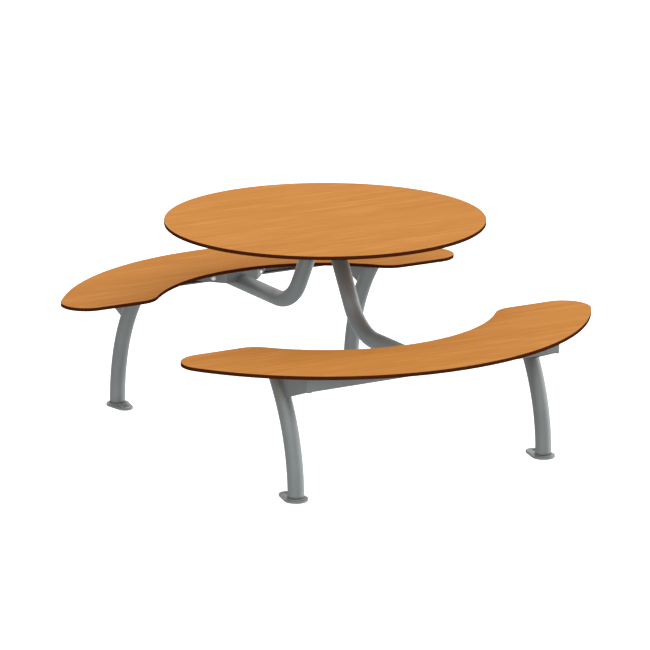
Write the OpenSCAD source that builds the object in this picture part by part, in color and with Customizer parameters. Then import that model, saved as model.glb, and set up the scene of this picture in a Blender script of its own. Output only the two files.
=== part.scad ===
// Round table with two attached curved benches, millimetres.
// Origin on the ground under the centre of the table, +Z up, benches along X, back bench at +Y.
// The frame is the same after half a turn about Z, so the front side is the back side turned round.

/* [Tops] */
// Diameter of the round table top
table_d = 1100; // [1000:10:1200]
// Height of the table's top face above the ground
table_h = 755; // [720:1:790]
// Height of the benches' top faces above the ground
bench_h = 451; // [430:1:470]
// Thickness of the laminate tops
top_t = 12; // [10:0.5:16]
// Eased edge round the table top
top_ease = 1; // [0.5:0.1:2]
// Gap in plan between the table's rim and a bench
bench_gap = 40; // [20:1:60]
// Width of a bench along a radius
bench_w = 322; // [290:1:350]
// Distance from the table's centre line to the straight ends of a bench
bench_end_y = 350; // [320:1:380]
// Radius of a bench's outer corners
tip_r = 92; // [70:1:110]
// Radius of a bench's inner corners
inner_r = 100; // [70:1:120]

/* [Legs] */
// Outer diameter of a leg tube
leg_d = 55; // [50:0.5:60]
// Wall of a leg tube
leg_wall = 3; // [2:0.25:4]
// Distance from the table's centre to a leg's axis, along the bench
leg_x = 481; // [450:1:510]
// Distance from the table's centre to a foot's axis, across the benches
foot_y = 641; // [620:1:660]
// Radius that a leg's axis is bent to
leg_bend_r = 650; // [620:1:750]

/* [Foot plates] */
// Thickness of a foot plate
foot_t = 8; // [6:0.5:12]
// Radius of the foot plate round the leg
foot_r = 40; // [34:0.5:46]
// Radius of the end that carries the anchor hole
foot_end_r = 28; // [22:0.5:32]
// Distance from the leg's axis to the anchor hole
anchor_reach = 58; // [50:1:75]
// Diameter of the anchor hole
anchor_d = 13; // [9:0.5:18]

/* [Leg heads] */
// Thickness of the plates under the bench tops
head_t = 5; // [4:0.5:8]
// Width of a leg's head plate
head_w = 72; // [64:1:84]
// Corner radius of a leg's head plate
head_corner_r = 12; // [6:1:16]
// Distance from the rim of the leg to the middle of a head screw
head_screw_out = 19; // [14:1:26]
// Margin from a head screw to the edge of the head plate
head_margin = 15; // [11:1:22]

/* [Bench beams] */
// Sheet thickness of a folded beam
beam_t = 5; // [4:0.5:8]
// Distance from the table's centre line to a beam's outer face
beam_y = 727; // [715:1:740]
// Height of a beam's web, down from the bench top
beam_web = 56; // [52:1:66]
// Depth of the flange that is folded in under the bench top
beam_flange = 50; // [44:1:60]
// Depth of the lip that is folded in along the beam's bottom
beam_lip = 20; // [16:1:26]
// Inner radius of every fold
fold_r = 4; // [2:0.5:8]
// Height at which a beam's folded end meets the leg's axis
gusset_z = 324; // [300:1:340]

/* [Table arms] */
// Outer diameter of an arm tube
arm_d = 57; // [52:0.5:60]
// Wall of an arm tube
arm_wall = 3; // [2:0.25:4]
// Distance from the underside of the bench tops down to the axis of an arm's level run
arm_drop = 39.5; // [38:0.5:46]
// Lean of an arm's upper run from the vertical, in degrees
arm_lean = 30.5; // [26:0.5:34]
// Radius that an arm's axis is bent to
arm_bend_r = 181; // [150:1:200]
// Clearance between an arm's outer end and the lip of its beam
arm_clear = 7; // [3:1:15]
// Thickness of the cap on an arm's level end
cap_t = 3; // [2:0.5:5]

/* [Arm joint] */
// Thickness of an arm's saddle and of the bracket inside it
joint_t = 6; // [5:0.5:8]
// Width of a saddle's front face, over its corners
saddle_w = 130; // [120:1:144]
// Distance from a saddle's front face to the beam
saddle_l = 130; // [124:1:134]
// Angle by which a saddle's sides open towards the beam, in degrees
saddle_flare = 40; // [34:1:44]
// Height of a saddle's lower edge above the arm's axis
saddle_low = 2; // [0:0.5:4]
// Distance from a saddle's front face to the free ends of the bracket
bracket_in = 20; // [16:1:26]
// Distance from a saddle's front corner to the inner bolt, along its side
bolt_in = 50; // [46:1:56]
// Distance from a saddle's outer end to the outer bolt, along its side
bolt_out = 23; // [18:1:30]
// Diameter of the joint bolts
bolt_d = 10; // [8:1:10]

/* [Table plate] */
// Side of the square plate under the table top
plate_w = 360; // [320:5:440]
// Thickness of the plate under the table top
plate_t = 6; // [5:0.5:8]
// Corner radius of the plate
plate_r = 40; // [20:1:60]
// Margin from the plate's edge to its screws
plate_margin = 28; // [20:1:40]

/* [Screws and inserts] */
// Diameter of the screws in the tops
screw_d = 6; // [5:0.5:8]
// Outer diameter of the threaded inserts
insert_d = 9.5; // [9:0.5:12]
// Length of a threaded insert
insert_l = 8; // [6:0.5:9]
// Distance of the inner flange screws from the middle of the bench
flange_screw_x1 = 190; // [170:1:220]
// Distance of the outer flange screws from the middle of the bench
flange_screw_x2 = 370; // [300:1:420]

/* [Hidden] */
$fn = 96;

laminate = [0.82, 0.56, 0.30];
steel_grey = [0.55, 0.57, 0.56];
zinc = [0.78, 0.79, 0.82];
brass = [0.76, 0.62, 0.32];

// Clearances: round a welded tube, between the two arms, between a saddle's side and the bracket, under the
// bracket, over the saddle, and beside a screw or bolt
weld_gap = 0.3;
arm_gap = 0.4;
lap_gap = 0.2;
floor_gap = 1.5;
top_gap = 1;
hole_gap = 1;
shank_gap = 0.1;
// Oversize where two smooth surfaces run into each other, so that they cross at a clear angle: the straight
// runs of an arm over the bend between them, and the rounded corners of a bench over its edges
run_ease = 0.05;
// Overrun of a cut past the face that it leaves, and of a run into the bend
past = 1;
// Size of a block that cuts off everything beyond a plane
far = 3000;

// Levels of the tops, plates and beams
table_under = table_h - top_t;
bench_under = bench_h - top_t;
head_z = bench_under - head_t;
plate_z = table_under - plate_t;
beam_z = bench_under - beam_web;
arm_z = bench_under - arm_drop;

// Plan of a bench: two arcs about the table's axis, cut off straight, with rounded corners
bench_in_r = table_d / 2 + bench_gap;
bench_out_r = bench_in_r + bench_w;
tip_y = bench_end_y + tip_r;
tip_x = sqrt(pow(bench_out_r - tip_r, 2) - pow(tip_y, 2));
inner_y = bench_end_y + inner_r;
inner_x = sqrt(pow(bench_in_r + inner_r, 2) - pow(inner_y, 2));

// Distance of a leg's axis from the table's centre line at height z
function leg_y(z) = foot_y - leg_bend_r + sqrt(pow(leg_bend_r, 2) - pow(z - foot_t, 2));
leg_lean = asin((head_z - foot_t) / leg_bend_r);
leg_sweep = asin((head_z - foot_t) / (leg_bend_r - leg_d / 2)) + 1;
leg_head_y = leg_y(head_z);
leg_cut = leg_d / 2 / cos(leg_lean);
head_screw_y = leg_cut + head_screw_out;
head_screw_x = head_w / 2 - head_margin + 1;
head_l = 2 * (head_screw_y + head_margin);

// Beam: fold radii and the screw line of its flange
fold_out = fold_r + beam_t;
beam_x = leg_x + beam_t;
flange_x = leg_x - fold_out;
flange_screw_y = beam_y - beam_t - beam_flange / 2;

// Arm: corner where its two runs would meet, and the ends of its bend
arm_r = arm_d / 2;
arm_top_y = arm_r / cos(arm_lean) + arm_gap;
arm_corner_y = arm_top_y + (plate_z - arm_z) * tan(arm_lean);
arm_tangent = arm_bend_r * tan((90 - arm_lean) / 2);
arm_bend_y = arm_corner_y + arm_tangent;

// Joint: the arm and its saddle end together; a side's outer face runs out from the saddle's corner at the flare
web_face = beam_y - beam_t;
arm_reach = beam_y - beam_lip - arm_clear;
arm_end = arm_reach - cap_t;
saddle_y = web_face - saddle_l;
saddle_z = arm_z + saddle_low;
saddle_top = bench_under - top_gap;
side_l = (arm_reach - saddle_y) / cos(saddle_flare);
bracket_z = saddle_z + joint_t + floor_gap;
bracket_top = bench_under - fold_out;
bracket_inset = joint_t + lap_gap;
bolt_z = (bracket_z + bracket_top) / 2;
bolt_head_d = 2.3 * bolt_d;
bolt_head_h = 0.6 * bolt_d;
washer_d = 2 * bolt_d;
washer_t = 2;
nut_w = 1.7 * bolt_d;
nut_h = 0.8 * bolt_d;
bolt_end = 3;
joint_fold = fold_r + joint_t;
// Half width in plan of a face that lies inwards of a side's outer face by inset, at distance y
function side_x(y, inset = 0) = saddle_w / 2 + (y - saddle_y) * tan(saddle_flare) - inset / cos(saddle_flare);

// Screws in the tops
screw_head_d = 2 * screw_d;
screw_head_h = 3.5;
insert_floor = 1;
hole_floor = insert_l + insert_floor;

// Screw places under the table and under the back bench
plate_fix = [for (i = [-1:1], j = [-1:1]) if (i != 0 || j != 0)
    (plate_w / 2 - plate_margin) * [i, j]];
head_fix = [for (i = [-1, 1], u = [-1, 1], v = [-1, 1])
    [i * leg_x + u * head_screw_x, leg_head_y + v * head_screw_y]];
flange_fix = [for (x = [flange_screw_x1, flange_screw_x2], i = [-1, 1]) [i * x, flange_screw_y]];
bench_fix = concat(head_fix, flange_fix);
arm_fix = [for (l = [bolt_in, side_l - bolt_out])
    [saddle_w / 2 + l * sin(saddle_flare), saddle_y + l * cos(saddle_flare)]];

module on_front() {
    rotate([0, 0, 180]) children();
}

module on_both() {
    children();
    on_front() children();
}

module at_points(points) {
    for (p = points) translate([p[0], p[1], 0]) children();
}

module bench_top() {
    side = [[0, 2 * bench_out_r], 2 * [bench_out_r, tip_y], 2 * [tip_x, tip_y], [tip_x, tip_y],
            [tip_x, bench_end_y], [inner_x, bench_end_y], [inner_x, inner_y], [0, 0]];
    color(laminate) difference() {
        union() {
            difference() {
                intersection() {
                    translate([0, 0, bench_under]) cylinder(r = bench_out_r, h = top_t, $fn = 360);
                    translate([0, 0, bench_under - past]) linear_extrude(top_t + 2 * past)
                        polygon(concat(side, [for (k = [6:-1:1]) [-side[k][0], side[k][1]]]));
                }
                translate([0, 0, bench_under - past])
                    cylinder(r = bench_in_r, h = top_t + 2 * past, $fn = 360);
            }
            for (i = [-1, 1]) {
                translate([i * tip_x, tip_y, bench_under])
                    cylinder(r = tip_r + run_ease, h = top_t);
                translate([i * inner_x, inner_y, bench_under])
                    cylinder(r = inner_r + run_ease, h = top_t);
            }
        }
        at_points(bench_fix) insert_hole(bench_under);
    }
}

module insert_hole(z) {
    translate([0, 0, z - past]) cylinder(d = insert_d, h = hole_floor + past, $fn = 32);
}

module table_top() {
    r = table_d / 2;
    color(laminate) difference() {
        translate([0, 0, table_under]) rotate_extrude($fn = 360) polygon([
            [0, 0], [r - top_ease, 0], [r, top_ease],
            [r, top_t - top_ease], [r - top_ease, top_t], [0, top_t]]);
        at_points(plate_fix) insert_hole(table_under);
    }
}

module bench_top_front() { on_front() bench_top(); }
module bench_top_back() { bench_top(); }

// Ring that a tube is swept or drawn from
module ring(d, wall) {
    difference() {
        circle(d = d);
        circle(d = d - 2 * wall);
    }
}

// Sweep along a leg's bent axis on the back side, side is -1 or 1
module leg_path(side) {
    translate([side * leg_x, foot_y - leg_bend_r, foot_t]) rotate([90, 0, 90])
        rotate_extrude(angle = leg_sweep, $fn = 360) translate([leg_bend_r, 0]) children();
}

module leg(side) {
    color(steel_grey) difference() {
        leg_path(side) ring(leg_d, leg_wall, $fn = 60);
        translate([-far / 2, -far / 2, head_z]) cube([far, far, far]);
    }
}

module leg_front_left() { on_front() leg(1); }
module leg_front_right() { on_front() leg(-1); }
module leg_back_left() { leg(-1); }
module leg_back_right() { leg(1); }

// Two round ends joined by their common tangents, with the anchor hole in the end towards the table
module foot_plate(side) {
    taper = asin((foot_r - foot_end_r) / anchor_reach);
    near = foot_r * [cos(taper), -sin(taper)];
    end = foot_end_r * [cos(taper), -sin(taper)] - [0, anchor_reach];
    color(steel_grey) translate([side * leg_x, foot_y, 0]) difference() {
        union() {
            cylinder(r = foot_r, h = foot_t);
            translate([0, -anchor_reach, 0]) cylinder(r = foot_end_r, h = foot_t);
            linear_extrude(foot_t) polygon([near, end, [-end[0], end[1]], [-near[0], near[1]]]);
        }
        translate([0, -anchor_reach, -past]) cylinder(d = anchor_d, h = foot_t + 2 * past);
    }
}

module foot_plate_front_left() { on_front() foot_plate(1); }
module foot_plate_front_right() { on_front() foot_plate(-1); }
module foot_plate_back_left() { foot_plate(-1); }
module foot_plate_back_right() { foot_plate(1); }

// Rectangle about the origin with round corners, exact
module round_rect(w, l, r) {
    square([w - 2 * r, l], center = true);
    square([w, l - 2 * r], center = true);
    for (i = [-1, 1], j = [-1, 1]) translate([i * (w / 2 - r), j * (l / 2 - r)]) circle(r = r);
}

module leg_head(side) {
    color(steel_grey) difference() {
        translate([side * leg_x, leg_head_y, head_z]) linear_extrude(head_t)
            round_rect(head_w, head_l, head_corner_r);
        at_points(head_fix) screw_hole(head_z, head_t);
    }
}

module screw_hole(z, t) {
    translate([0, 0, z - past]) cylinder(d = screw_d + hole_gap, h = t + 2 * past, $fn = 32);
}

module leg_head_front_left() { on_front() leg_head(1); }
module leg_head_front_right() { on_front() leg_head(-1); }
module leg_head_back_left() { leg_head(-1); }
module leg_head_back_right() { leg_head(1); }

// Quarter of a folded sheet's bend, from the +X axis to the +Y axis
module fold(inner, t) {
    intersection() {
        difference() {
            circle(r = inner + t);
            circle(r = inner);
        }
        square(inner + t + past);
    }
}

// Web, top flange and bottom lip of a beam, drawn in Y and Z from the web's outer top corner
module beam_profile() {
    translate([-beam_t, fold_out - beam_web]) square([beam_t, beam_web - 2 * fold_out]);
    translate([-fold_out, -fold_out]) fold(fold_r, beam_t);
    translate([-fold_out, fold_out - beam_web]) mirror([0, 1]) fold(fold_r, beam_t);
    translate([-beam_flange, -beam_t]) square([beam_flange - fold_out, beam_t]);
    translate([-beam_lip, -beam_web]) square([beam_lip - fold_out, beam_t]);
}

// End of a beam, folded in along the leg and cut to its tube
module beam_end() {
    head_out = leg_head_y + head_l / 2 + past;
    flat_y = beam_y - fold_out;
    translate([leg_x - fold_r, flat_y, beam_z]) linear_extrude(beam_web) fold(fold_r, beam_t);
    translate([leg_x, 0, 0]) rotate([90, 0, 90]) linear_extrude(beam_t) polygon([
        [flat_y, beam_z], [flat_y, bench_under], [head_out, bench_under], [head_out, head_z],
        [leg_head_y, head_z], [leg_y(gusset_z), gusset_z]]);
}

module beam() {
    color(steel_grey) difference() {
        union() {
            translate([-flange_x, beam_y, bench_under]) rotate([90, 0, 90])
                linear_extrude(2 * flange_x) beam_profile();
            for (i = [0, 1]) mirror([i, 0, 0]) {
                translate([flange_x - past, beam_y - beam_t, beam_z])
                    cube([leg_x - fold_r - flange_x + past, beam_t, beam_web]);
                beam_end();
            }
        }
        for (side = [-1, 1]) leg_path(side) circle(d = leg_d + 2 * weld_gap, $fn = 60);
        at_points(flange_fix) screw_hole(head_z, head_t);
    }
}

module beam_front() { on_front() beam(); }
module beam_back() { beam(); }

// Level run and upper run of an arm along its axis in the plane X = 0, up past the table plate
module arm_runs() {
    translate([0, arm_end, arm_z]) rotate([90, 0, 0])
        linear_extrude(arm_end - arm_bend_y + past) children();
    translate([0, arm_corner_y, arm_z]) rotate([arm_lean, 0, 0])
        translate([0, 0, arm_tangent - past])
            linear_extrude((plate_z - arm_z) / cos(arm_lean) - arm_tangent + arm_d) children();
}

// Bend between the two runs, about an axis along X
module arm_bend() {
    translate([0, arm_bend_y, arm_z + arm_bend_r]) rotate([90, 0, 90]) rotate([0, 0, 180 + arm_lean])
        rotate_extrude(angle = 90 - arm_lean, $fn = 120) translate([arm_bend_r, 0]) children();
}

module arm_tube() {
    color(steel_grey) difference() {
        union() {
            arm_runs() ring(arm_d + 2 * run_ease, arm_wall + 2 * run_ease, $fn = 60);
            arm_bend() ring(arm_d, arm_wall, $fn = 60);
        }
        translate([-far / 2, -far / 2, plate_z]) cube([far, far, far]);
    }
}

module arm_tube_front() { on_front() arm_tube(); }
module arm_tube_back() { arm_tube(); }

module arm_cap() {
    color(steel_grey) translate([0, arm_reach, arm_z]) rotate([90, 0, 0]) cylinder(d = arm_d, h = cap_t);
}

module arm_cap_front() { on_front() arm_cap(); }
module arm_cap_back() { arm_cap(); }

// Plan of half a fold about a point, from its first to its last direction in degrees
function turn(centre, r, from, to) = [for (k = [0:8]) let (a = from + (to - from) * k / 8) centre + r * [cos(a), sin(a)]];

// Both halves of a plan that is given for +X
module both_halves(half) {
    last = len(half) - 1;
    polygon(concat(half, [for (k = [last:-1:0]) [-half[k][0], half[k][1]]]));
}

// Plan of a saddle, its faces drawn in by inset, out to distance end
module saddle_plan(inset, end) {
    tangent = joint_fold * tan((90 - saddle_flare) / 2);
    centre = [saddle_w / 2 - tangent, saddle_y + joint_fold];
    both_halves(concat(turn(centre, joint_fold - inset, -90, -saddle_flare), [[side_x(end, inset), end]]));
}

// Plan of a bracket, its faces drawn in by inset, from distance start
module bracket_plan(inset, start) {
    corner = side_x(web_face, bracket_inset);
    centre = [corner - joint_fold * tan((90 + saddle_flare) / 2), web_face - joint_fold];
    both_halves(concat([[side_x(start, bracket_inset + inset), start]],
        turn(centre, joint_fold - inset, -saddle_flare, 90)));
}

// Folded tray on the arm, seen from the table as its front face: the arm runs into it, and its floor and
// front are cut out round the upper half of the tube
module arm_saddle() {
    color(steel_grey) difference() {
        translate([0, 0, saddle_z]) linear_extrude(saddle_top - saddle_z) saddle_plan(0, arm_reach);
        translate([0, 0, saddle_z + joint_t]) linear_extrude(far) saddle_plan(joint_t, arm_reach + past);
        translate([-far / 2, beam_y - beam_flange - 2 * top_gap, bench_under - beam_t - top_gap])
            cube([far, far, far]);
        translate([0, arm_reach + past, arm_z]) rotate([90, 0, 0])
            cylinder(r = arm_r + weld_gap, h = saddle_l + 2 * past);
        at_bolts() bolt_hole();
    }
}

module arm_saddle_front() { on_front() arm_saddle(); }
module arm_saddle_back() { arm_saddle(); }

// Places a saddle's bolts: their axis is +Z, and the saddle's outer face is at 0
module at_bolts() {
    for (i = [0, 1]) mirror([i, 0, 0]) for (p = arm_fix)
        translate([p[0], p[1], bolt_z]) rotate([0, 0, -saddle_flare]) rotate([0, 90, 0]) children();
}

module bolt_hole() {
    translate([0, 0, -2 * joint_t - lap_gap - past])
        cylinder(d = bolt_d + hole_gap, h = 2 * joint_t + lap_gap + 2 * past, $fn = 48);
}

// Folded bracket on the inner face of a beam, with a tongue inside each side of the saddle
module beam_bracket() {
    start = saddle_y + bracket_in;
    color(steel_grey) difference() {
        translate([0, 0, bracket_z]) linear_extrude(bracket_top - bracket_z) bracket_plan(0, start);
        translate([0, 0, bracket_z - past]) linear_extrude(bracket_top - bracket_z + 2 * past)
            bracket_plan(joint_t, start - past);
        at_bolts() bolt_hole();
    }
}

module beam_bracket_front() { on_front() beam_bracket(); }
module beam_bracket_back() { beam_bracket(); }

module table_plate() {
    color(steel_grey) difference() {
        translate([0, 0, plate_z]) linear_extrude(plate_t) round_rect(plate_w, plate_w, plate_r);
        at_points(plate_fix) screw_hole(plate_z, plate_t);
    }
}

// Domed head on a saddle's side over a straight shank that ends past the nut
module arm_bolt() {
    tip = 2 * joint_t + lap_gap + washer_t + nut_h + bolt_end;
    dome = (pow(bolt_head_d / 2, 2) + pow(bolt_head_h, 2)) / (2 * bolt_head_h);
    translate([0, 0, -tip]) cylinder(d = bolt_d, h = tip, $fn = 48);
    rotate_extrude($fn = 48) intersection() {
        translate([0, bolt_head_h - dome]) circle(r = dome, $fn = 96);
        square([bolt_head_d, bolt_head_h + past]);
    }
}

module arm_bolts() {
    color(zinc) on_both() at_bolts() arm_bolt();
}

module arm_washers() {
    color(zinc) on_both() at_bolts() translate([0, 0, -2 * joint_t - lap_gap - washer_t])
        linear_extrude(washer_t) ring(washer_d, (washer_d - bolt_d) / 2 - shank_gap, $fn = 48);
}

module arm_nuts() {
    color(zinc) on_both() at_bolts() translate([0, 0, -2 * joint_t - lap_gap - washer_t - nut_h])
        linear_extrude(nut_h) difference() {
            circle(d = nut_w / cos(30), $fn = 6);
            circle(d = bolt_d + 2 * shank_gap, $fn = 48);
        }
}

// Screw that comes up through a plate into its insert, z is the plate's lower face
module top_screw(z, t) {
    translate([0, 0, z - screw_head_h]) rotate_extrude($fn = 32) polygon([
        [0, 0], [screw_head_d / 2 - past, 0], [screw_head_d / 2, past],
        [screw_head_d / 2, screw_head_h], [0, screw_head_h]]);
    translate([0, 0, z]) cylinder(d = screw_d, h = t + insert_l, $fn = 32);
}

module insert(z) {
    translate([0, 0, z]) linear_extrude(insert_l)
        ring(insert_d - 2 * shank_gap, (insert_d - screw_d) / 2 - 2 * shank_gap, $fn = 32);
}

module table_screws() { color(zinc) at_points(plate_fix) top_screw(plate_z, plate_t); }
module table_inserts() { color(brass) at_points(plate_fix) insert(table_under); }
module bench_screws() { color(zinc) at_points(bench_fix) top_screw(head_z, head_t); }
module bench_inserts() { color(brass) at_points(bench_fix) insert(bench_under); }
module bench_screws_front() { on_front() bench_screws(); }
module bench_screws_back() { bench_screws(); }
module bench_inserts_front() { on_front() bench_inserts(); }
module bench_inserts_back() { bench_inserts(); }

table_top();
bench_top_front();
bench_top_back();
leg_front_left();
leg_front_right();
leg_back_left();
leg_back_right();
foot_plate_front_left();
foot_plate_front_right();
foot_plate_back_left();
foot_plate_back_right();
leg_head_front_left();
leg_head_front_right();
leg_head_back_left();
leg_head_back_right();
beam_front();
beam_back();
beam_bracket_front();
beam_bracket_back();
arm_tube_front();
arm_tube_back();
arm_saddle_front();
arm_saddle_back();
arm_cap_front();
arm_cap_back();
table_plate();
arm_bolts();
arm_washers();
arm_nuts();
table_screws();
table_inserts();
bench_screws_front();
bench_screws_back();
bench_inserts_front();
bench_inserts_back();
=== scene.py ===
"""Round table with two attached curved benches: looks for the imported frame, in metres."""
import math

import bmesh
import bpy
import numpy as np
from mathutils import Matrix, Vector


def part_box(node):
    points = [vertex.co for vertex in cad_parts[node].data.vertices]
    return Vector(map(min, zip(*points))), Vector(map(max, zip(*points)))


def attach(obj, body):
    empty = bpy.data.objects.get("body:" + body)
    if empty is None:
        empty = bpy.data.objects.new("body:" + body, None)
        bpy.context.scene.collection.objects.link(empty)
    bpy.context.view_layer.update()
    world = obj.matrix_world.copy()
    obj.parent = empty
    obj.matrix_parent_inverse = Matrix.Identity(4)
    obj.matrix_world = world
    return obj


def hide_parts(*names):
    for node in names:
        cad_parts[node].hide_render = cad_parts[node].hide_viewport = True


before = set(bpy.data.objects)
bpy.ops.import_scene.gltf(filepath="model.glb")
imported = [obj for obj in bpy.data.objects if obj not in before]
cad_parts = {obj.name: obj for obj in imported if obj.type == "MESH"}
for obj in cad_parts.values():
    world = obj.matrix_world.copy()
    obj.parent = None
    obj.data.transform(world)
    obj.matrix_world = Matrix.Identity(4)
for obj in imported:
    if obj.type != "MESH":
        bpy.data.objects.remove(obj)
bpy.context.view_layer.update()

scene = bpy.context.scene
MM = 0.001
TAU = 2 * math.pi
UP = np.array([0.0, 0.0, 1.0])


# Camera

# Where it stands in metres, how far round and how far down it looks, the width of its sensor and its lens
# in millimetres, and the nearest and the farthest that it sees in metres
CAMERA_PLACE = (-5.8652, -10.1212, 3.5113)
CAMERA_TURN, CAMERA_PITCH = math.radians(30.09), math.radians(15.0)
SENSOR_WIDTH, LENS = 36.0, 194.95
NEAREST, FARTHEST = 0.5, 100.0


def face_along(obj, way):
    """Turns a camera or a lamp to face along a direction, with its own top upwards."""
    obj.rotation_mode = "QUATERNION"
    obj.rotation_quaternion = Vector(way).to_track_quat("-Z", "Y")


def add_camera():
    """The camera where the photograph was taken from: far off, 30 degrees round to the left of the front
    bench's middle, looking 15 degrees down."""
    data = bpy.data.cameras.new("camera")
    data.sensor_width, data.lens = SENSOR_WIDTH, LENS
    data.clip_start, data.clip_end = NEAREST, FARTHEST
    cam = bpy.data.objects.new("camera", data)
    scene.collection.objects.link(cam)
    scene.camera = cam
    cam.location = CAMERA_PLACE
    level = math.cos(CAMERA_PITCH)
    face_along(cam, (level * math.sin(CAMERA_TURN), level * math.cos(CAMERA_TURN), -math.sin(CAMERA_PITCH)))


add_camera()


# Sizes

# They are in metres. Levels, thicknesses and the places of flat faces are read from the boxes of the CAD
# nodes. Radii, angles, margins and small forms are as the part's source has them, because a round node's
# box falls a little short of it.

def box_of(node):
    """Lowest and highest corner of a CAD node, to a hundredth of a millimetre."""
    return [np.round(corner, 5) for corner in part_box(node)]


table_low, table_high = box_of("table_top")
bench_low, bench_high = box_of("bench_top_back")
plate_low, plate_high = box_of("table_plate")
head_low, head_high = box_of("leg_head_back_right")
_, foot_high = box_of("foot_plate_back_right")
_, beam_high = box_of("beam_back")
cap_low, cap_high = box_of("arm_cap_back")
saddle_low, _ = box_of("arm_saddle_back")
bracket_low, bracket_high = box_of("beam_bracket_back")

# Tops
TABLE_R, TABLE_UNDER, TABLE_TOP = 550 * MM, table_low[2], table_high[2]
BENCH_END, BENCH_UNDER, BENCH_TOP = bench_low[1], bench_low[2], bench_high[2]
BENCH_GAP, BENCH_W = 40 * MM, 322 * MM
BENCH_IN, BENCH_OUT = TABLE_R + BENCH_GAP, TABLE_R + BENCH_GAP + BENCH_W
TIP_R, INNER_R, TOP_EASE = 92 * MM, 100 * MM, 1 * MM

# Foot plates
FOOT_Y, FOOT_T, FOOT_R, FOOT_EASE = 641 * MM, foot_high[2], 40 * MM, 1.2 * MM
FOOT_END_R, ANCHOR_REACH, ANCHOR_R, ANCHOR_EASE = 28 * MM, 58 * MM, 6.5 * MM, 0.6 * MM

# Legs and the plates at their heads
LEG_X, LEG_R, LEG_BEND = (head_low[0] + head_high[0]) / 2, 27.5 * MM, 650 * MM
LEG_AXIS_Y = FOOT_Y - LEG_BEND
HEAD_Z, HEAD_T = head_low[2], head_high[2] - head_low[2]
LEG_LEAN = math.asin((HEAD_Z - FOOT_T) / LEG_BEND)

# Folded ends of the beams
GUSSET_T, GUSSET_Z = beam_high[0] - LEG_X, 324 * MM

# Arms, and the plate under the table top that they carry
ARM_R, ARM_BEND, ARM_LEAN = 28.5 * MM, 181 * MM, math.radians(30.5)
ARM_DROP, ARM_GAP = 39.5 * MM, 0.4 * MM
ARM_END, ARM_Z = cap_low[1], BENCH_UNDER - ARM_DROP
ARM_TOP_Y = ARM_R / math.cos(ARM_LEAN) + ARM_GAP
PLATE_Z, PLATE_T = plate_low[2], plate_high[2] - plate_low[2]

# Arm joint: the saddle and the length of its sides, and the lap of a side and the bracket
SADDLE_W, SADDLE_Y, SADDLE_Z = 130 * MM, saddle_low[1], saddle_low[2]
SADDLE_FLARE = math.radians(40)
SADDLE_SIDE = (cap_high[1] - SADDLE_Y) / math.cos(SADDLE_FLARE)
JOINT_T, LAP_GAP = 6 * MM, 0.2 * MM
LAP = 2 * JOINT_T + LAP_GAP

# Its bolts, how far along a side they stand, and what they carry
BOLT_R, BOLT_Z, SHANK_GAP = 5 * MM, (bracket_low[2] + bracket_high[2]) / 2, 0.1 * MM
BOLT_IN, BOLT_OUT = 50 * MM, 23 * MM
BOLT_RUNS = (BOLT_IN, SADDLE_SIDE - BOLT_OUT)
BOLT_END, BOLT_PITCH = 3 * MM, 1.5 * MM
DOME_R, DOME_H = 2.3 * BOLT_R, 1.2 * BOLT_R
WASHER_T, NUT_H, NUT_W = 2 * MM, 8 * MM, 17 * MM

# Screws in the tops, and where they stand
SCREW_R, SCREW_PITCH, INSERT_L = 3 * MM, 1 * MM, 8 * MM
SCREW_HEAD_R, SCREW_HEAD_H, SOCKET_W, SOCKET_FLOOR = 6 * MM, 3.5 * MM, 4 * MM, -1.3 * MM
PLATE_MARGIN, FLANGE_W = 28 * MM, 50 * MM
PLATE_SCREW = plate_high[0] - PLATE_MARGIN
HEAD_SCREW_X, HEAD_SCREW_OUT = 22 * MM, 19 * MM
FLANGE_SCREW_XS, FLANGE_SCREW_Y = (190 * MM, 370 * MM), beam_high[1] - GUSSET_T - FLANGE_W / 2

# Threads: how deep they are cut, how far the end of a shank is drawn in, and the spacing of their rings
THREAD_CUT, THREAD_END, THREAD_STEP = 0.45 * MM, 1.2 * MM, 0.3 * MM

# Welds: the radius of a bead, and how far its middle stands out from the tube
FOOT_WELD, FOOT_WELD_OUT = 3.2 * MM, 0.8 * MM
HEAD_WELD, HEAD_WELD_OUT = 2.6 * MM, 0.8 * MM
GUSSET_WELD, GUSSET_WELD_OUT = 2.4 * MM, 0.6 * MM
SADDLE_WELD, SADDLE_WELD_OUT = 2.6 * MM, 0.8 * MM
FLOOR_WELD, FLOOR_WELD_OUT = 2.2 * MM, 0.5 * MM
PLATE_WELD, PLATE_WELD_OUT = 2.6 * MM, 0.7 * MM

# How far a bead's middle is from the plate that it runs along, and the length of a ripple and its share of
# the radius
WELD_OFF, WELD_PITCH, WELD_SWELL = 0.4 * MM, 3.2 * MM, 0.10

# Sheet pieces: the width of a broken edge, and the angles up to which faces are made one, shaded as one
# and left without a broken edge
SHEET_EDGE = 0.7 * MM
ONE_FACE, ONE_SHADE, NO_EDGE = math.radians(0.4), math.radians(25), math.radians(35)

# Points that are nearer than this are merged
MERGED = 2e-6


# Surfaces

def ring_faces(rings, n, joined):
    """Corners of the four-sided faces from each ring of n points to the next, with the points numbered
    ring by ring. Where joined, the last ring runs on to the first."""
    u = np.arange(rings if joined else rings - 1)[:, None]
    v = np.arange(n)[None, :]
    u_next, v_next = (u + 1) % rings, (v + 1) % n
    return np.stack([u * n + v, u_next * n + v, u_next * n + v_next, u * n + v_next], -1).reshape(-1, 4)


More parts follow.
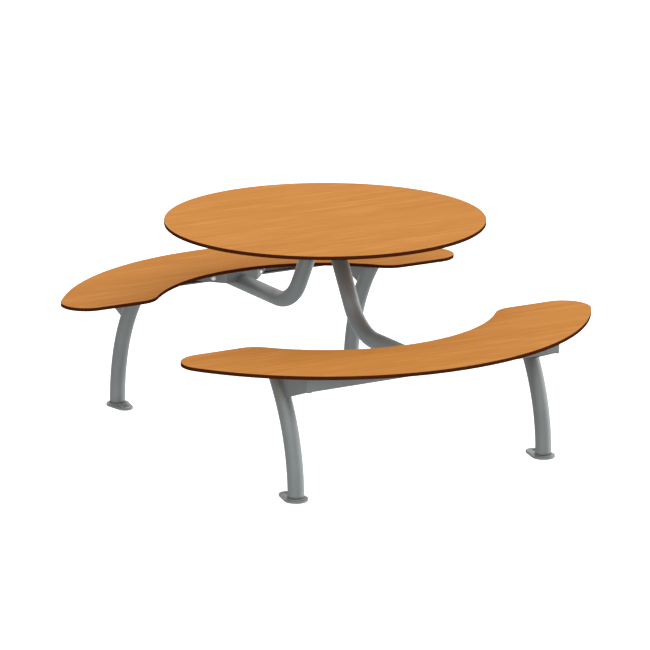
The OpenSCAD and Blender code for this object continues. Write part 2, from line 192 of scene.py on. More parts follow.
class Shell:
    """A piece put together from rings of points and flat ends, each with one of the piece's finishes."""

    def __init__(self):
        self.points, self.faces, self.finish, self.smooth, self.count = [], [], [], [], 0

    def rings(self, p, joined=False, finish=0):
        """Adds a grid of points of shape (rings, n, 3), closed round each ring and shaded smooth."""
        faces = (ring_faces(*p.shape[:2], joined) + self.count).tolist()
        self.points.append(p.reshape(-1, 3))
        self.faces += faces
        self.finish += [finish] * len(faces)
        self.smooth += [True] * len(faces)
        self.count += p.shape[0] * p.shape[1]
        return self

    def end(self, ring):
        """Closes a ring of points of shape (n, 3) with one flat face of the first finish."""
        self.points.append(ring)
        self.faces.append(list(range(self.count, self.count + len(ring))))
        self.finish.append(0)
        self.smooth.append(False)
        self.count += len(ring)
        return self

    def solid(self, p, finish=0):
        """Adds rings of points with the first and the last of them closed."""
        return self.rings(p, finish=finish).end(p[0]).end(p[-1])

    def piece(self, name, finishes, *nodes, slot="frame"):
        """Makes the object, with doubled points merged and faces turned outwards, in place of CAD nodes."""
        mesh = bpy.data.meshes.new(name)
        mesh.from_pydata(np.concatenate(self.points).tolist(), [], self.faces)
        mesh.polygons.foreach_set("material_index", np.array(self.finish, np.int32))
        mesh.polygons.foreach_set("use_smooth", np.array(self.smooth, bool))
        bm = bmesh.new()
        bm.from_mesh(mesh)
        bmesh.ops.remove_doubles(bm, verts=bm.verts, dist=MERGED)
        bmesh.ops.recalc_face_normals(bm, faces=bm.faces)
        bm.to_mesh(mesh)
        bm.free()
        obj = bpy.data.objects.new(name, mesh)
        scene.collection.objects.link(obj)
        for finish in finishes:
            mesh.materials.append(finish)
        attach(obj, "root")
        if nodes:
            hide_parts(*nodes)


def full_turn(n):
    """n even directions round a full turn."""
    return np.linspace(0, TAU, n, endpoint=False)


def around(r, a, z):
    """Points about +Z at radius r, direction a and height z: (r cos a, r sin a, z)."""
    return np.stack(np.broadcast_arrays(r * np.cos(a), r * np.sin(a), z), -1)


def turned(profile, n=48):
    """A round piece about +Z: each (r, z) of the profile becomes a ring of n points."""
    r, z = np.asarray(profile, float).T[:, :, None]
    return around(r, full_turn(n), z)


def ring_about(axis, across, along, radius, n):
    """A ring of n points about each point of an axis: point + radius (cos a across + sin a along)."""
    a = full_turn(n)[None, :, None]
    ray = np.cos(a) * across[:, None] + np.sin(a) * along[:, None]
    return axis[:, None] + np.reshape(radius, (-1, 1, 1)) * ray


def level_end(ring, way, z):
    """Slides a tube's last ring along the tube's way until each of its points lies at height z."""
    return ring + way * ((z - ring[:, 2:3]) / way[2])


def arc(centre, radius, start, stop, n, out=1.0):
    """Points and outward normals on a circle: centre + radius (cos a, sin a), for n even angles a in
    degrees from start on. An arc ends one step short of its stop, where the next one starts."""
    a = np.radians(np.linspace(start, stop, n, endpoint=False))
    ray = np.stack([np.cos(a), np.sin(a)], -1)
    return np.asarray(centre) + radius * ray, out * ray


def outline(*arcs):
    """Joins arcs, end to end, into one closed outline of points and normals."""
    return np.concatenate([a[0] for a in arcs]), np.concatenate([a[1] for a in arcs])


def slab(points, normals, low, high, ease, steps=4):
    """A flat panel: its outline p at height z, drawn in by d along its normals n, is p - d n. Both edges are
    rounded: there d = ease (1 - cos t) and z = edge - ease (1 - sin t), for t from 0 to a right angle."""
    t = np.linspace(0, math.pi / 2, steps + 1)
    d, rise = ease * (1 - np.cos(t)), ease * (1 - np.sin(t))
    inset = np.concatenate([d[::-1], d])
    z = np.concatenate([low + rise[::-1], high - rise])
    flat = points[None] - inset[:, None, None] * normals[None]
    return np.concatenate([flat, np.broadcast_to(z[:, None, None], flat.shape[:2] + (1,))], -1)


def unturned(p):
    """Leaves points where they are, on the back side, or on the back right for a piece at each corner."""
    return p


def half_turn(p):
    """Turns points half round the table's axis: (x, y) becomes (-x, -y)."""
    return p * np.array([-1, -1, 1])


def mirror_x(p):
    """Reflects points in the plane X = 0."""
    return p * np.array([-1, 1, 1])


def mirror_y(p):
    """Reflects points in the plane Y = 0."""
    return p * np.array([1, -1, 1])


SIDES = {"back": unturned, "front": half_turn}
CORNERS = {"back_right": unturned, "back_left": mirror_x, "front_left": half_turn, "front_right": mirror_y}


# Outlines

# How many degrees an arc runs past the start of the straight edge after it, so that its last point comes
# near that start
PAST = 1


def table_outline(n=288):
    """Plan of the table top: one full circle."""
    return arc((0, 0), TABLE_R, 0, 360, n)


def bench_outline():
    """Plan of the back bench: two arcs about the table's axis, rounded corners that touch them, and straight
    ends at one distance from the centre line."""
    tip_y, inner_y = BENCH_END + TIP_R, BENCH_END + INNER_R
    tip_x = math.sqrt((BENCH_OUT - TIP_R) ** 2 - tip_y ** 2)
    inner_x = math.sqrt((BENCH_IN + INNER_R) ** 2 - inner_y ** 2)
    tip_a = math.degrees(math.atan2(tip_y, tip_x))
    inner_a = math.degrees(math.atan2(inner_y, inner_x))
    return outline(
        arc((tip_x, tip_y), TIP_R, -90, tip_a, 28),
        arc((0, 0), BENCH_OUT, tip_a, 180 - tip_a, 90),
        arc((-tip_x, tip_y), TIP_R, 180 - tip_a, 270 + PAST, 29),
        arc((-inner_x, inner_y), INNER_R, 270, 360 - inner_a, 18),
        arc((0, 0), BENCH_IN, 180 - inner_a, inner_a, 72, out=-1.0),
        arc((inner_x, inner_y), INNER_R, 180 + inner_a, 270 + PAST, 19))


def foot_outline():
    """Outline of a foot plate about its leg, with the anchor's end towards -Y: a large and a small arc,
    and the tangents that they share."""
    taper = math.degrees(math.asin((FOOT_R - FOOT_END_R) / ANCHOR_REACH))
    return outline(arc((0, 0), FOOT_R, -taper, 180 + taper + PAST, 48),
                   arc((0, -ANCHOR_REACH), FOOT_END_R, 180 + taper, 360 - taper + PAST, 32))


# Tubes and foot plates

def leg_tube(n=48, steps=40, over=0.02):
    """A leg on the back right. Its axis leaves the foot plate upright and is bent towards the table: at
    the angle t it is (LEG_AXIS_Y + LEG_BEND cos t, FOOT_T + LEG_BEND sin t). Rings square to it run
    over the head plate by the angle over. Those that reach past that plate's underside are left out,
    and the last is slid down to it."""
    t = np.linspace(0, LEG_LEAN + over, steps)
    zero = np.zeros_like(t)
    axis = np.stack([zero + LEG_X, LEG_AXIS_Y + LEG_BEND * np.cos(t), FOOT_T + LEG_BEND * np.sin(t)], -1)
    across = np.stack([zero + 1, zero, zero], -1)
    along = np.stack([zero, np.cos(t), np.sin(t)], -1)
    p = ring_about(axis, across, along, LEG_R, n)
    way = np.array([0, -math.sin(t[-1]), math.cos(t[-1])])
    keep = p[:, :, 2].max(1) < HEAD_Z
    return np.concatenate([p[keep], level_end(p[-1], way, HEAD_Z)[None]])


def arm_axis(n_bend=36):
    """Axis of the back arm in the plane X = 0, with its direction at each point: a level run, a bend of
    radius ARM_BEND about an axis along X that starts a tangent's length before the corner, and an
    upper run."""
    corner = ARM_TOP_Y + (PLATE_Z - ARM_Z) * math.tan(ARM_LEAN)
    tangent = ARM_BEND * math.tan((math.pi / 2 - ARM_LEAN) / 2)
    a = np.linspace(0, math.pi / 2 - ARM_LEAN, n_bend)
    bend = np.stack([corner + tangent - ARM_BEND * np.sin(a), ARM_Z + ARM_BEND * (1 - np.cos(a))], -1)
    yz = np.concatenate([[[ARM_END, ARM_Z]], bend, [[ARM_TOP_Y, PLATE_Z]]])
    rise = np.concatenate([[0], a, [a[-1]]])
    zero = np.zeros(len(yz))
    point = np.stack([zero, yz[:, 0], yz[:, 1]], -1)
    way = np.stack([zero, -np.cos(rise), np.sin(rise)], -1)
    return point, way


def arm_tube(n=56):
    """The back arm: rings square to its axis, with the last one level under the table plate."""
    point, way = arm_axis()
    across = np.broadcast_to([1.0, 0, 0], way.shape)
    p = ring_about(point, across, np.cross(way, across), ARM_R, n)
    p[-1] = level_end(p[-2], way[-1], PLATE_Z)
    return p


def foot_plate():
    """A foot plate as one closed band: rim, top face in to the anchor hole, hole wall, and bottom face
    out again."""
    points, normals = foot_outline()
    centre = np.array([0, -ANCHOR_REACH])
    ray = points - centre
    ray /= np.linalg.norm(ray, axis=1, keepdims=True)

    def hole(r, z):
        """A ring of the anchor hole at radius r and height z, its points in line with the outline's."""
        return np.concatenate([centre + r * ray, np.full((len(ray), 1), z)], -1)[None]

    wide = ANCHOR_R + ANCHOR_EASE
    band = np.concatenate([
        slab(points, normals, 0.0, FOOT_T, FOOT_EASE),
        hole(wide, FOOT_T), hole(ANCHOR_R, FOOT_T - ANCHOR_EASE),
        hole(ANCHOR_R, ANCHOR_EASE), hole(wide, 0)])
    return band + np.array([LEG_X, FOOT_Y, 0])


# Bolts, nuts, washers and screws, about +Z

def hexagon(a, width):
    """Distance from the middle to the side of a hexagon, width across its flats, in the direction a:
    (width / 2) / cos b, where b is the angle from a to the middle of the nearest flat."""
    return width / 2 / np.cos((a + math.pi / 6) % (math.pi / 3) - math.pi / 6)


def socket_rows(n, chamfer=0.3 * MM, middle=0.02 * MM):
    """Rings of a screw's hexagon socket: its chamfered rim in the head's face, its wall down to its
    floor, and the middle of the floor."""
    a = full_turn(n)
    side, face = hexagon(a, SOCKET_W), -SCREW_HEAD_H
    return np.stack([
        around(side + chamfer, a, face), around(side, a, face + chamfer), around(side, a, SOCKET_FLOOR),
        around(np.maximum(side - SOCKET_W / 2, middle), a, SOCKET_FLOOR)])


def pan_head(n=36, rounding=1 * MM, edge=0.2 * MM, land=2.7 * MM):
    """A screw's head below z = 0, with its hexagon socket. Its flat face starts at the radius land, and
    its rim is a quarter circle about (SCREW_HEAD_R - rounding, rounding - SCREW_HEAD_H)."""
    t = np.linspace(0, math.pi / 2, 5)
    r, z = SCREW_HEAD_R - rounding + rounding * np.sin(t), -SCREW_HEAD_H + rounding - rounding * np.cos(t)
    under = [(SCREW_HEAD_R, -edge), (SCREW_HEAD_R - edge, 0), (SCREW_R, 0)]
    return np.concatenate([socket_rows(n)[::-1], turned([(land, -SCREW_HEAD_H), *zip(r, z), *under], n)])


def shank(r, low, pitch, n):
    """A threaded shank from z = low up to 0. Its thread's depth at (a, z) is THREAD_CUT |2 w - 1|, where
    w is the fraction of z / pitch - a / (2 pi), and its low end is a cone that starts THREAD_END
    within r."""
    z = np.linspace(low, 0, int(-low / THREAD_STEP))[:, None]
    a = full_turn(n)[None, :]
    w = (z / pitch - a / TAU) % 1.0
    return around(np.minimum(r - THREAD_CUT * np.abs(2 * w - 1), r - THREAD_END + z - low), a, z)


def dome_head(n=48, rim=0.8 * MM, inset=0.3 * MM, edge=0.2 * MM, tip=0.02):
    """A joint bolt's head over z = 0. Its straight rim carries a low dome of radius d and height h, which
    is part of a ball of radius (d^2 + h^2) / 2h. The dome's last ring is at the small angle tip."""
    d, h = DOME_R - inset, DOME_H - rim
    ball = (d ** 2 + h ** 2) / (2 * h)
    t = np.linspace(math.asin(d / ball), tip, 12)
    dome = zip(ball * np.sin(t), DOME_H - ball * (1 - np.cos(t)))
    return turned([(BOLT_R, 0), (DOME_R - edge, 0), (DOME_R, edge), (DOME_R, rim - edge), *dome], n)


def nut(n=72, slope=1.7, cut=0.1 * MM, mouth=0.6 * MM):
    """A hexagon nut from z = -NUT_H up to 0. Its radius is the lesser of the hexagon's and a cone's at
    each end, which starts cut within the flats and widens by slope. Its bore is chamfered by mouth."""
    steps = np.array([0, 0.5, 1.0, 1.6]) * MM
    z = np.concatenate([steps - NUT_H, -steps[::-1]])[:, None]
    a = full_turn(n)[None, :]
    cone = NUT_W / 2 - cut + slope * np.minimum(z + NUT_H, -z)
    hole = BOLT_R + SHANK_GAP
    bore = turned([(hole + mouth, 0), (hole, -mouth), (hole, mouth - NUT_H), (hole + mouth, -NUT_H)], n)
    return np.concatenate([around(np.minimum(hexagon(a, NUT_W), cone), a, z), bore])


def washer(n=48, edge=0.2 * MM, mouth=0.3 * MM):
    """A flat washer from z = -WASHER_T up to 0, with a small edge at its upper rim. Its lower rim is rolled
    over: each point of roll says how far in and how far up it is from that rim's corner."""
    rim, hole, low = 2 * BOLT_R, BOLT_R + SHANK_GAP, -WASHER_T
    roll = np.array([(0, 0.7), (0.2, 0.25), (0.8, 0)]) * MM
    upper = [(hole, 0), (rim - edge, 0), (rim, -edge)]
    lower = np.array([rim, low]) + roll * np.array([-1, 1])
    return turned([*upper, *lower, (hole + edge, low), (hole, low + mouth)], n)


def placed(p, ways, at):
    """Carries a fastener made about its own axes to its place: x X + y Y + z Z + at, where X, Y and Z are
    the three ways."""
    return p @ np.array(ways) + np.array(at)


# Welds

def weld_bead(line, side, up, size, closed=False, n=8, taper=1.5, least=0.02):
    """A weld along a line of points: rings of n points whose axes are side and up. At the distance s along
    the line the radius is size (1 + WELD_SWELL sin(2 pi s / WELD_PITCH)). Unless the weld closes on itself,
    that is also multiplied by the root of d / (taper size), between least and 1, d from the nearer end."""
    step = np.linalg.norm(np.diff(line, axis=0), axis=1)
    s = np.concatenate([[0], np.cumsum(step)])
    r = size * (1 + WELD_SWELL * np.sin(TAU * s / WELD_PITCH))
    if not closed:
        r = r * np.sqrt(np.clip(np.minimum(s, s[-1] - s) / (taper * size), least, 1))
    return ring_about(line, np.broadcast_to(side, line.shape), np.broadcast_to(up, line.shape), r, n)


def level_ring(centre, radius, lean, start=0.0, n=193):
    """Where a leaning round tube meets a level plate: centre + (radius cos a, radius sin a / cos lean),
    with the ways out from the centre. It runs from the angle start all the way round to the same point."""
    a = np.linspace(start, start + TAU, n)
    ray = np.stack([np.cos(a), np.sin(a) / math.cos(lean), 0 * a], -1)
    return np.asarray(centre) + radius * ray, ray / np.linalg.norm(ray, axis=1, keepdims=True)


def foot_weld():
    """The weld round the foot of a leg, on its foot plate."""
    line, side = level_ring((LEG_X, FOOT_Y, FOOT_T), LEG_R + FOOT_WELD_OUT, 0.0)
    return weld_bead(line, side, UP, FOOT_WELD, closed=True)


def head_weld():
    """The weld round the top of a leg, under its head plate."""
    centre = (LEG_X, leg_line(HEAD_Z), HEAD_Z - WELD_OFF)
    line, side = level_ring(centre, LEG_R + HEAD_WELD_OUT, LEG_LEAN)
    return weld_bead(line, side, UP, HEAD_WELD, closed=True)


def leg_line(z):
    """How far out a leg's bent axis is at height z, on its circle of radius LEG_BEND."""
    return LEG_AXIS_Y + math.sqrt(LEG_BEND ** 2 - (z - FOOT_T) ** 2)


def gusset_welds(low_end=10 * MM, top_end=4 * MM, n=110):
    """Welds down both faces of a beam's folded end, where they meet the outer side of the tube. Its
    outermost line is a circle of radius LEG_BEND + LEG_R, and a line x off the tube's middle plane is
    LEG_R - sqrt(LEG_R^2 - x^2) within that. A weld stops low_end above GUSSET_Z, where the folded end
    meets the leg's axis, and top_end under the head plate."""
    outer = LEG_BEND + LEG_R
    low, top = (math.asin((z - FOOT_T) / outer) for z in (GUSSET_Z + low_end, HEAD_Z - top_end))
    t = np.linspace(low, top, n)
    out = np.stack([0 * t, np.cos(t), np.sin(t)], -1)
    seams = []
    for x, way in ((GUSSET_T + GUSSET_WELD_OUT, 1.0), (-GUSSET_WELD_OUT, -1.0)):
        drop = LEG_R - math.sqrt(LEG_R ** 2 - x ** 2)
        line = np.array([LEG_X + x, LEG_AXIS_Y, FOOT_T]) + (outer - drop + GUSSET_WELD_OUT) * out
        seams.append(weld_bead(line, (way, 0, 0), out, GUSSET_WELD))
    return seams


def arm_welds(arch_end=math.radians(6), inner_end=12 * MM, outer_end=6 * MM, gap=4 * MM):
    """Welds of the back arm. One goes over the tube at the saddle's front face, and ends at the angle
    arch_end above its middle on each side. Two run along the saddle's lower edge, from inner_end behind that
    face to outer_end before the arm's end. The last goes round the tube's top under the table plate, where
    it is more than gap from the plane between the two arms."""
    a = np.linspace(arch_end, math.pi - arch_end, 120)
    ray = np.stack([np.cos(a), 0 * a, np.sin(a)], -1)
    arch = np.array([0, SADDLE_Y - WELD_OFF, ARM_Z]) + (ARM_R + SADDLE_WELD_OUT) * ray
    seams = [weld_bead(arch, ray, (0, -1, 0), SADDLE_WELD)]
    y = np.linspace(SADDLE_Y + inner_end, ARM_END - outer_end, 90)
    for x in (-ARM_R - FLOOR_WELD_OUT, ARM_R + FLOOR_WELD_OUT):
        line = np.stack([x + 0 * y, y, SADDLE_Z - WELD_OFF + 0 * y], -1)
        seams.append(weld_bead(line, (1, 0, 0), UP, FLOOR_WELD))
    centre = (0, ARM_TOP_Y, PLATE_Z - WELD_OFF)
    ring, side = level_ring(centre, ARM_R + PLATE_WELD_OUT, ARM_LEAN, start=-TAU / 4)
    clear = ring[:, 1] > gap
    seams.append(weld_bead(ring[clear], side[clear], UP, PLATE_WELD))
    return seams


# Finishes

class Value:
    """An output of a node, so that shader maths reads as arithmetic."""

    def __init__(self, nodes, socket):
        self.nodes, self.socket = nodes, socket

    def __add__(self, other):
        return self.nodes.maths("ADD", self, other)

    def __radd__(self, other):
        return self.nodes.maths("ADD", other, self)

    def __mul__(self, other):
        return self.nodes.maths("MULTIPLY", self, other)

    def __rmul__(self, other):
        return self.nodes.maths("MULTIPLY", other, self)


class Nodes:
    """The nodes of one tree, which starts empty."""

    def __init__(self, owner):
        owner.use_nodes = True
        self.tree = owner.node_tree
        self.tree.nodes.clear()

    def add(self, kind, settings=None, inputs=None):
        """Makes a node of a type, sets its settings, then gives its sockets their values or links."""
        node = self.tree.nodes.new("ShaderNode" + kind)
        for key, value in (settings or {}).items():
            setattr(node, key, value)
        for key, value in (inputs or {}).items():
            if isinstance(value, Value):
                self.tree.links.new(value.socket, node.inputs[key])
            else:
                node.inputs[key].default_value = value
        return node

    def out(self, node, name=0):
        """An output of a node, by its name or number."""
        return Value(self, node.outputs[name])

    def maths(self, operation, a, b):
        """What a Math node makes of two values or numbers."""
        return self.out(self.add("Math", {"operation": operation}, {0: a, 1: b}))


class Finish(Nodes):
    """A node material on a Principled shader, patterned by Object coordinates. fixed holds what is the
    same all over the surface, on the shader's own sockets."""

    def __init__(self, name, fixed):
        self.material = bpy.data.materials.new(name)
        super().__init__(self.material)
        self.shader = self.add("BsdfPrincipled", {}, fixed)
        self.add("OutputMaterial", {}, {"Surface": self.out(self.shader)})
        self.place = self.out(self.add("TexCoord"), "Object")

    def noise(self, fineness, detail=3.0, rough=0.5, offset=(0, 0, 0)):
        """Smooth noise from 0 to 1, with about fineness waves in a metre along x, y and z."""
        place = self.out(self.add("Mapping", {"vector_type": "POINT"},
                                  {"Vector": self.place, "Scale": fineness, "Location": offset}))
        return self.out(self.add("TexNoise", {"noise_dimensions": "3D"},
                                 {"Vector": place, "Scale": 1.0, "Detail": detail, "Roughness": rough}))

    def even_noise(self, fineness, detail=3.0, rough=0.5):
        """Noise that is as fine along every axis."""
        return self.noise((fineness, fineness, fineness), detail, rough)

    def span(self, value, low, high):
        """Moves value from the range low to high into 0 to 1, and stops it there."""
        return self.out(self.add("MapRange", {"clamp": True},
                                 {"Value": value, "From Min": low, "From Max": high}))

    def blend(self, factor, a, b):
        """Colour a where factor is 0 and b where it is 1."""
        a, b = (c if isinstance(c, Value) else (*c, 1) for c in (a, b))
        return self.out(self.add("Mix", {"data_type": "RGBA"}, {0: factor, 6: a, 7: b}), 2)

    def relief(self, height, depth, strength):
        """A normal that follows a height of 0 to 1 as a relief of depth, in metres."""
        return self.out(self.add("Bump", {}, {"Height": height, "Distance": depth, "Strength": strength}))

    def wear(self, **links):
        """Links what changes over the surface to the shader's sockets, named with _ for spaces, and gives
        the material."""
        for key, value in links.items():
            self.tree.links.new(value.socket, self.shader.inputs[key.replace("_", " ")])
        return self.material


def srgb(r, g, b):
    """A screen colour from 0 to 255 as the light it stands for."""
    c = np.array([r, g, b]) / 255
    return tuple(np.where(c <= 0.04045, c / 12.92, ((c + 0.055) / 1.055) ** 2.4).tolist())


def make_laminate_face():
    """Wood-look print with its grain along X: long fine streaks in two widths over a slow change of tone,
    sparse light flakes, and short dark pores."""
    dark, light, pale, deep = srgb(162, 104, 46), srgb(174, 116, 56), srgb(184, 130, 71), srgb(138, 82, 31)
    finish = Finish("laminate_face", {"Specular IOR Level": 0.008})
    slow = finish.noise((1.1, 9, 9), detail=2)
    flake = finish.span(finish.noise((3.6, 46, 46), detail=2, rough=0.6, offset=(3, 1, 0)), 0.50, 0.72)
    streak = finish.noise((5, 130, 130), detail=4, rough=0.65, offset=(7, 2, 0))
    fine = finish.noise((16, 420, 420), rough=0.6)
    pore = finish.span(finish.noise((14, 900, 900), detail=2, offset=(0, 5, 0)), 0.62, 0.75)
    colour = finish.blend(finish.span(0.3 * slow + 0.4 * streak + 0.3 * fine, 0.38, 0.62), dark, light)
    colour = finish.blend(0.5 * flake, colour, pale)
    colour = finish.blend(0.35 * pore, colour, deep)
    return finish.wear(Base_Color=colour, Roughness=0.58 + 0.10 * streak,
                       Normal=finish.relief(0.7 * fine + 0.3 * pore, 0.2 * MM, 0.25))


def make_laminate_core():
    """Dark pressed paper: thin level layers, a little uneven."""
    dark, light, dull = srgb(50, 19, 7), srgb(68, 31, 12), srgb(56, 23, 9)
    finish = Finish("laminate_core", {"Specular IOR Level": 0.0})
    layer = finish.noise((3, 3, 1500), detail=2)
    patch = finish.even_noise(40)
    colour = finish.blend(0.4 * patch, finish.blend(layer, dark, light), dull)
    return finish.wear(Base_Color=colour, Roughness=0.55 + 0.15 * patch,
                       Normal=finish.relief(layer, 0.3 * MM, 0.3))


def make_powder_coat():
    """Satin silver-grey powder coat: a fine orange-peel relief and a slow change of tone."""
    dark, light = srgb(110, 114, 113), srgb(116, 120, 119)
    finish = Finish("powder_coat", {"Metallic": 0.35, "Specular IOR Level": 0.35})
    peel = finish.even_noise(900, detail=2, rough=0.45)
    slow = finish.even_noise(6)
    grit = finish.even_noise(3500, detail=1)
    return finish.wear(Base_Color=finish.blend(finish.span(slow, 0.35, 0.65), dark, light),
                       Roughness=0.38 + 0.10 * slow + 0.05 * grit,
                       Normal=finish.relief(peel, 0.12 * MM, 0.35))


def make_zinc():
    """Zinc plate: bright metal with soft patches of duller blue and yellow."""
    bluish, yellowish = srgb(198, 204, 216), srgb(210, 210, 206)
    finish = Finish("zinc_plate", {"Metallic": 1.0})
    patch = finish.even_noise(160)
    fine = finish.even_noise(1800, detail=2)
    return finish.wear(Base_Color=finish.blend(finish.span(patch, 0.4, 0.6), bluish, yellowish),
                       Roughness=0.26 + 0.16 * patch, Normal=finish.relief(fine, 0.05 * MM, 0.3))


def make_brass():
    """Turned brass: fine rings of relief and a slow change of tone."""
    dark, light = srgb(196, 158, 86), srgb(214, 180, 110)
    finish = Finish("turned_brass", {"Metallic": 1.0})
    patch = finish.even_noise(200, detail=2)
    rings = finish.noise((900, 900, 7200), detail=1)
    return finish.wear(Base_Color=finish.blend(patch, dark, light), Roughness=0.28 + 0.12 * patch,
                       Normal=finish.relief(rings, 0.05 * MM, 0.4))


laminate_face, laminate_core = make_laminate_face(), make_laminate_core()
powder_coat, zinc_plate, turned_brass = make_powder_coat(), make_zinc(), make_brass()


# Pieces

def finish_of(node):
    """The finish that goes with a CAD node's name."""
    if "insert" in node:
        return turned_brass
    if any(kind in node for kind in ("screw", "bolt", "washer", "nut")):
        return zinc_plate
    return laminate_face if "top" in node else powder_coat


def finish_cad_nodes():
    """Gives every CAD node its finish. The inserts are the ones that stay in view."""
    for name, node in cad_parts.items():
        node.data.materials.clear()
        node.data.materials.append(finish_of(name))


def panel(name, p, node):
    """A laminate panel from the rings of its rim, which is the dark core. Its faces have the wood look."""
    Shell().solid(p, finish=1).piece(name, [laminate_face, laminate_core], node, slot="laminate")


def add_tops():
    """The table top and the two bench tops."""
    panel("table_panel", slab(*table_outline(), TABLE_UNDER, TABLE_TOP, TOP_EASE), "table_top")
    rim = slab(*bench_outline(), BENCH_UNDER, BENCH_TOP, TOP_EASE)
    panel("bench_panel_back", rim, "bench_top_back")
    panel("bench_panel_front", half_turn(rim), "bench_top_front")


def add_legs():
    """The four legs, their foot plates, and their welds to these, the head plates and the beams' ends."""
    tube, foot, base, head, seams = leg_tube(), foot_plate(), foot_weld(), head_weld(), gusset_welds()
    for name, put in CORNERS.items():
        Shell().solid(put(tube)).piece("leg_tube_" + name, [powder_coat], "leg_" + name)
        Shell().rings(put(foot), joined=True).piece("foot_" + name, [powder_coat], "foot_plate_" + name)
        Shell().rings(put(base)).piece("weld_foot_" + name, [powder_coat])
        Shell().rings(put(head)).piece("weld_head_" + name, [powder_coat])
        weld = Shell()
        for seam in seams:
            weld.solid(put(seam))
        weld.piece("weld_gusset_" + name, [powder_coat])


def add_arms():
    """The two arm tubes and their welds."""
    tube, seams = arm_tube(), arm_welds()
    for name, put in SIDES.items():
        Shell().solid(put(tube)).piece("arm_" + name, [powder_coat], "arm_tube_" + name)
        weld = Shell()
        for seam in seams:
            weld.solid(put(seam))
        weld.piece("weld_arm_" + name, [powder_coat])


def softened(node):
    """A painted copy of a CAD sheet piece, with its flat faces made whole and a small bevel on its edges."""
    name = node + "_painted"
    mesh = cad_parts[node].data.copy()
    mesh.name = name
    bm = bmesh.new()
    bm.from_mesh(mesh)
    bmesh.ops.remove_doubles(bm, verts=bm.verts, dist=MERGED)
    bmesh.ops.dissolve_limit(bm, angle_limit=ONE_FACE, verts=bm.verts, edges=bm.edges)
    bmesh.ops.recalc_face_normals(bm, faces=bm.faces)
    for face in bm.faces:
        face.smooth = True
    for edge in bm.edges:
        edge.smooth = len(edge.link_faces) == 2 and edge.calc_face_angle(0) < ONE_SHADE
    bm.to_mesh(mesh)
    bm.free()
    mesh.materials.clear()
    mesh.materials.append(powder_coat)
    obj = bpy.data.objects.new(name, mesh)
    scene.collection.objects.link(obj)
    bevel = obj.modifiers.new("broken_edge", "BEVEL")
    bevel.width, bevel.segments, bevel.harden_normals = SHEET_EDGE, 2, True
    bevel.limit_method, bevel.angle_limit = "ANGLE", NO_EDGE
    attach(obj, "root")
    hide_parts(node)


def add_sheet_pieces():
    """The beams, brackets, saddles, table plate, arm caps and leg heads."""
    for node in ("beam_front", "beam_back", "beam_bracket_front", "beam_bracket_back", "arm_saddle_front",
                 "arm_saddle_back", "table_plate", "arm_cap_front", "arm_cap_back"):
        softened(node)
    for corner in CORNERS:
        softened("leg_head_" + corner)


def joint_places():
    """The four bolts of the back joint, each by its ways and its place on the outer face of the saddle's
    side: the two ways across it, the second upwards, and its way out of that face."""
    run_way = np.array([math.sin(SADDLE_FLARE), math.cos(SADDLE_FLARE), 0])
    out_way = np.array([math.cos(SADDLE_FLARE), -math.sin(SADDLE_FLARE), 0])
    corner = np.array([SADDLE_W / 2, SADDLE_Y, BOLT_Z])
    places = []
    for flip in (unturned, mirror_x):
        for run in BOLT_RUNS:
            out = flip(out_way)
            places.append(((np.cross(UP, out), UP, out), flip(corner + run * run_way)))
    return places


def add_joint_fasteners():
    """The bolts, washers and nuts of both joints in place of the CAD's. Each is made with z = 0 at the
    outer face of a saddle's side, which the bolt's head sits on. The washer and the nut are behind the
    bracket's lap."""
    bolt_low = -LAP - WASHER_T - NUT_H - BOLT_END
    groups = {
        "arm_bolts": [dome_head(), shank(BOLT_R, bolt_low, BOLT_PITCH, 36)],
        "arm_washers": [washer() - LAP * UP],
        "arm_nuts": [nut() - (LAP + WASHER_T) * UP]}
    for name, parts in groups.items():
        shell = Shell()
        for ways, at in joint_places():
            for put in SIDES.values():
                for part in parts:
                    p = put(placed(part, ways, at))
                    if name == "arm_bolts":
                        shell.solid(p)
                    else:
                        shell.rings(p, joined=True)
        shell.piece(name + "_zinc", [zinc_plate], name, slot="fasteners")


def screw_places(node):
    """Where the screws of a CAD group stand, at the underside of the plate that they hold: in a square
    under the table, or four round the top of each leg and four along the beam's flange."""
    if node == "table_screws":
        square = [(i, j) for i in (-1, 0, 1) for j in (-1, 0, 1) if i or j]
        return [(i * PLATE_SCREW, j * PLATE_SCREW, PLATE_Z) for i, j in square]
    reach = LEG_R / math.cos(LEG_LEAN) + HEAD_SCREW_OUT
    heads = [(i * LEG_X + u * HEAD_SCREW_X, leg_line(HEAD_Z) + v * reach, HEAD_Z)
             for i in (-1, 1) for u in (-1, 1) for v in (-1, 1)]
    flange = [(i * x, FLANGE_SCREW_Y, HEAD_Z) for i in (-1, 1) for x in FLANGE_SCREW_XS]
    way = -1 if "front" in node else 1
    return [(way * x, way * y, z) for x, y, z in heads + flange]


def add_screws():
    """The screws of the tops in place of the CAD's, each with its head under its plate and its shank up
    through the plate into its insert. Their sockets are turned all ways, by angles that follow from
    their places."""
    groups = {"table_screws": PLATE_T, "bench_screws_front": HEAD_T, "bench_screws_back": HEAD_T}
    for node, plate_t in groups.items():
        head = pan_head()
        stem = shank(SCREW_R, -(plate_t + INSERT_L), SCREW_PITCH, 24) * np.array([1, 1, -1])
        shell = Shell()
        for x, y, z in screw_places(node):
            turn = (x * 37 + y * 53) % TAU
            ways = ((math.cos(turn), math.sin(turn), 0), (-math.sin(turn), math.cos(turn), 0), UP)
            for part in (head, stem):
                shell.solid(placed(part, ways, (x, y, z)))
        shell.piece(node + "_zinc", [zinc_plate], node, slot="fasteners")


finish_cad_nodes()
add_tops()
add_legs()
add_arms()
add_sheet_pieces()
add_joint_fasteners()
add_screws()


# Studio

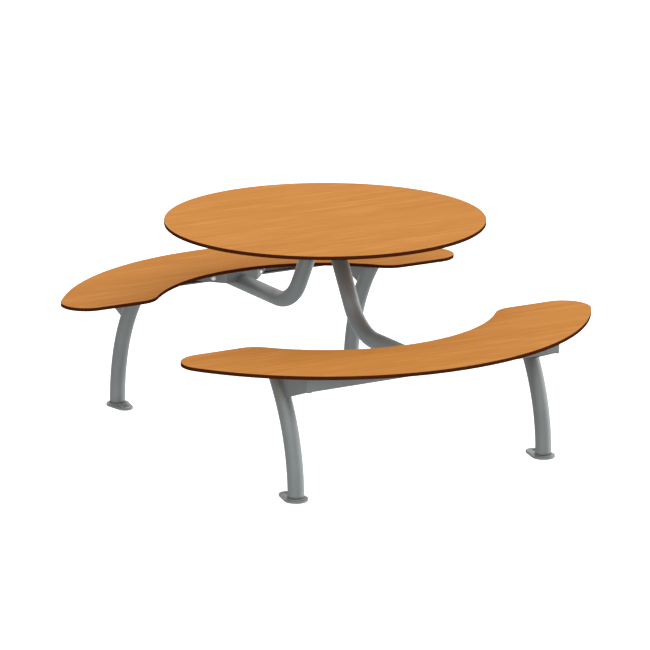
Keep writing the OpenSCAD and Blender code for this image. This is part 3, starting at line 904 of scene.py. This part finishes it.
# The floor: half its side in metres, and its own light
FLOOR_HALF = 30.0
FLOOR_GLOW, FLOOR_GLOW_COLOUR = 0.95, (0.91, 0.99, 1.08, 1)

# Light from all round, and the ways from which it is stronger, each with its strength and narrowness
WORLD_COLOUR, WORLD_BASE = (0.97, 0.985, 1.0, 1), 0.33
WORLD_LOBES = (
    ((0.94, -0.18, 0.24), 3.7, 3.0),    # a broad one, low from the right
    ((-0.42, -0.60, 0.68), 2.6, 5.0),   # high, over the camera's left side
    ((0.18, 0.90, 0.38), 1.5, 4.0),     # from behind the table
    ((-0.3, 0.0, -0.95), 0.62, 1.0),    # up from below, as a pale floor sends it back
    ((-0.85, -0.45, 0.05), 0.48, 2.0))  # a weak one, low from the left

# One weak lamp overhead: the way to it, its strength, and how wide it looks in degrees
SUN_WAY, SUN_STRENGTH, SUN_SPREAD = Vector((0.28, 0.11, 0.95)), 0.12, 14


def light_world():
    """The world's light: from the direction d it is WORLD_BASE + the sum over the lobes of
    strength max(0, d . way)^narrow."""
    world = bpy.data.worlds.new("studio")
    scene.world = world
    nodes = Nodes(world)
    place = nodes.out(nodes.add("TexCoord"), "Generated")
    light = WORLD_BASE
    for way, strength, narrow in WORLD_LOBES:
        dot = nodes.add("VectorMath", {"operation": "DOT_PRODUCT"}, {0: place, 1: Vector(way).normalized()})
        facing = nodes.maths("MAXIMUM", nodes.out(dot, "Value"), 0.0)
        light = nodes.maths("POWER", facing, narrow) * strength + light
    back = nodes.add("Background", {}, {"Color": WORLD_COLOUR, "Strength": light})
    nodes.add("OutputWorld", {}, {"Surface": nodes.out(back)})


def add_sun():
    """The lamp overhead."""
    data = bpy.data.lights.new("overhead", "SUN")
    data.energy, data.angle = SUN_STRENGTH, math.radians(SUN_SPREAD)
    obj = bpy.data.objects.new("overhead", data)
    scene.collection.objects.link(obj)
    face_along(obj, -SUN_WAY)


def add_floor():
    """A plain pale floor. The camera sees it, but it sheds no light on the table and isn't mirrored in it,
    because the world's light from below stands for what it would send back."""
    mesh = bpy.data.meshes.new("floor")
    corners = [(i * FLOOR_HALF, j * FLOOR_HALF, 0) for i, j in ((-1, -1), (1, -1), (1, 1), (-1, 1))]
    mesh.from_pydata(corners, [], [(0, 1, 2, 3)])
    obj = bpy.data.objects.new("floor", mesh)
    scene.collection.objects.link(obj)
    finish = Finish("pale_floor", {"Roughness": 0.9, "Specular IOR Level": 0.1,
                                   "Emission Color": FLOOR_GLOW_COLOUR, "Emission Strength": FLOOR_GLOW})
    tone = finish.even_noise(0.6, detail=1)
    light, lighter = srgb(188, 188, 188), srgb(193, 193, 193)
    mesh.materials.append(finish.wear(Base_Color=finish.blend(tone, light, lighter)))
    obj.visible_diffuse = obj.visible_glossy = False


add_floor()
light_world()
add_sun()
scene.view_settings.view_transform = "Standard"
